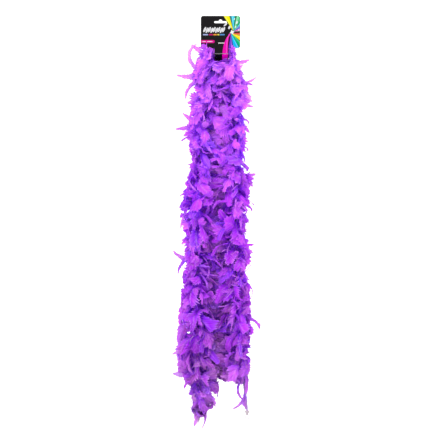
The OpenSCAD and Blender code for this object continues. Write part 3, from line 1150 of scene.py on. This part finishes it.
def disc(x, z, radius_x, radius_z, turn=0.0, points=20):
    """An ellipse, turned counterclockwise by an angle in degrees."""
    c, s = math.cos(math.radians(turn)), math.sin(math.radians(turn))
    outline = []
    for k in range(points):
        a = 2 * math.pi * k / points
        u, v = radius_x * math.cos(a), radius_z * math.sin(a)
        outline.append((x + u * c - v * s, z + u * s + v * c))
    return outline


def sparkle(x, z, long_r, short_r, turn=0.0):
    """A star with four points."""
    outline = []
    for k in range(8):
        a = math.radians(turn + 45 * k)
        radius = long_r if k % 2 == 0 else short_r
        outline.append((x + radius * math.cos(a), z + radius * math.sin(a)))
    return outline


class PrintSheet:
    """Collects flat printed shapes as thin plates of ink on the card's face."""

    def __init__(self):
        self.points, self.faces, self.tints = [], [], []

    def plate(self, low, high, shade, strength=INK_STRENGTH):
        """A closed plate between two outlines of the same number of points."""
        base, count = len(self.points), len(low)
        self.points += [tuple(p) for p in (*low, *high)]
        self.faces += [tuple(base + k for k in face) for face in tube_faces(2, count)]
        self.tints += [strength * np.array(colour(*shade))] * (2 * count)

    def shape(self, outline, shade, layer=1):
        """A shape on the card, drawn counterclockwise as seen from the front."""
        top = CARD_FACE_Y - PRINT_THICK * layer
        self.plate([(x, CARD_FACE_Y, z) for x, z in outline], [(x, top, z) for x, z in outline], shade)

    def build(self, name):
        piece = add_mesh(name, self.points, self.faces, INK, smooth=False)
        add_tint(piece, self.tints)
        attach(piece, "header")
        return piece


def print_fan():
    sheet = PrintSheet()
    for centre, streamers in FANS:
        for first, last, shade in streamers:
            sheet.shape(streamer_outline(centre, first, last), shade)
            light = tuple(int(c + (255 - c) * 0.45) for c in shade)
            third = (last - first) / 3
            sheet.shape(streamer_outline(centre, last - third, last - third * 0.4), light, layer=2)
    spots = ((0.0415, -0.001, 0.0040), (0.0385, -0.012, 0.0030), (0.0465, -0.0190, 0.0026),
             (0.0355, 0.008, 0.0026))
    for x, z, size in spots:
        sheet.shape(disc(x, z, size * 0.55, size, turn=-20), (240, 252, 250), layer=3)
    sheet.shape(sparkle(0.0295, -0.0255, 0.0066, 0.0034, 20), (255, 255, 255), layer=3)
    sheet.shape(disc(0.0225, -0.0135, 0.0028, 0.0045, turn=-25), (236, 236, 240), layer=2)
    sheet.shape(disc(0.0128, -0.0062, 0.0060, 0.0020, turn=42), (240, 240, 244), layer=2)
    sheet.build("printed_fan")


def print_badge():
    """A generic badge in place of a name: a row of white feather shapes over a line of coloured dashes."""
    sheet = PrintSheet()
    for k in range(9):
        x, z = -0.0400 + 0.0060 * k, -0.0198 + 0.0008 * (-1) ** k
        sheet.shape(disc(x, z, 0.0072, 0.0026, turn=66), (250, 250, 252))
        sheet.shape(disc(x, z, 0.0060, 0.0003, turn=66, points=8), (120, 116, 124), layer=2)
    dashes = ((-0.0445, 0.0130, (170, 180, 225)), (-0.0295, 0.0100, (205, 30, 110)),
              (-0.0180, 0.0085, (245, 160, 60)), (-0.0080, 0.0050, (235, 225, 90)),
              (-0.0015, 0.0120, (90, 150, 210)))
    for left, width, shade in dashes:
        sheet.shape(bar(left, left + width, -0.0335, -0.0300), shade)
    bar_left, bar_right, low, high = -0.0494, -0.0185, -0.0530, -0.0455
    middle, radius = (low + high) / 2, (high - low) / 2
    end = [np.array([bar_right, middle]) + polar(radius, a) for a in np.linspace(-1.57, 1.57, 9)]
    sheet.shape([(bar_left, low), *end, (bar_left, high)], (235, 0, 150))
    for left, width in ((-0.0465, 0.0095), (-0.0345, 0.0150)):
        sheet.shape(disc(left + width / 2, middle, width / 2, 0.0012), (255, 215, 245), layer=2)
    sheet.build("printed_badge")


def ribbon_edges(z):
    """Left and right edge of the magenta streamer at a height."""
    heights = (CREASE_Z, -0.071, -0.053, -0.039, FAN_CENTRE[1] - 0.001)
    left = np.interp(z, heights, (0.0050, 0.0056, 0.0092, 0.0155, 0.0250))
    right = np.interp(z, heights, (0.0185, 0.0185, 0.0190, 0.0208, 0.0262))
    return float(left), float(right)


def print_ribbon():
    """The magenta streamer that runs down the card and its strap, and the worn crease across them."""
    sheet = PrintSheet()
    heights = np.linspace(CREASE_Z + 0.0006, FAN_CENTRE[1] - 0.001, 16)
    left, right = ([(ribbon_edges(z)[k], z) for z in heights] for k in (0, 1))
    sheet.shape(right + left[::-1], MAGENTA)
    glare = [(x - 0.004, z) for x, z in right[::-1]]
    sheet.shape([(x + 0.0022, z) for x, z in glare[::-1]] + glare, (255, 90, 215), layer=2)
    crease = bar(STRAP_LEFT + 0.0003, STRAP_RIGHT - 0.0003, CREASE_Z, CREASE_Z + 0.0007)
    sheet.shape(crease, (150, 146, 150), layer=2)
    start, end = (Vector((0, *point)) for point in UNDERFOLD)
    outward = Vector((0, end.z - start.z, start.y - end.y)).normalized()
    corners = [(0.0185, end), (0.0185, start), (0.0050, start), (0.0036, end)]
    skin = abs(CARD_FACE_Y)
    low, high = ([Vector((x, p.y, p.z)) + outward * lift for x, p in corners]
                 for lift in (skin, skin + PRINT_THICK))
    # painted light: the streamer on the underfold gets the brighter ink
    sheet.plate(low, high, MAGENTA, UNDERFOLD_PAINTED_LIGHT_STRENGTH)
    sheet.build("printed_ribbon")


def finish_card():
    """The card's own solids keep their shape and get their board."""
    under = Vector((0, FOLD_Z - CREASE_Z, -FOLD_Y)).normalized()
    sides = {"header_card": (0, -1, 0), "strap_underfold": tuple(under), "strap_back": (0, 0.87, -0.5),
             "lock_tab": (0, 0.5, 0.87)}
    for node, printed_side in sides.items():
        card = bpy.data.objects[node]
        card.data.materials.clear()
        card.data.materials.append(board_material(f"{node}_board", printed_side))


finish_card()
print_fan()
print_badge()
print_ribbon()


# ---------- stage and light ----------

FLOOR_Z = -1.25
FLOOR_HALF = 20


def make_floor():
    m = Shading("floor")
    grain = m.noise(m.place(), 3.0)
    m.surface(m.ramp(grain, (0.3, (0.90, 0.90, 0.91, 1)), (0.7, (0.94, 0.94, 0.94, 1))), {"Roughness": 0.9})
    corners = [(x, y, FLOOR_Z) for x, y in bar(-FLOOR_HALF, FLOOR_HALF, -FLOOR_HALF, FLOOR_HALF)]
    add_mesh("floor", corners, [(0, 1, 2, 3)], m.material)


def make_sun(name, place, strength, spread):
    """A wide soft light that shines from a place towards the boa."""
    data = bpy.data.lights.new(name, "SUN")
    data.energy = strength
    data.angle = math.radians(spread)
    light = bpy.data.objects.new(name, data)
    bpy.context.scene.collection.objects.link(light)
    light.rotation_euler = Vector(place).to_track_quat("Z", "Y").to_euler()


def make_world():
    world = bpy.data.worlds.new("world")
    bpy.context.scene.world = world
    world.use_nodes = True
    set_inputs(world.node_tree.nodes["Background"], {"Color": (1, 1, 1, 1), "Strength": 1.50})


make_floor()
make_world()
make_sun("key", (-0.6, -1.2, 1.1), 2.3, 20)
make_sun("fill", (1.2, -0.8, 0.4), 0.7, 40)
bpy.context.scene.view_settings.view_transform = "Standard"
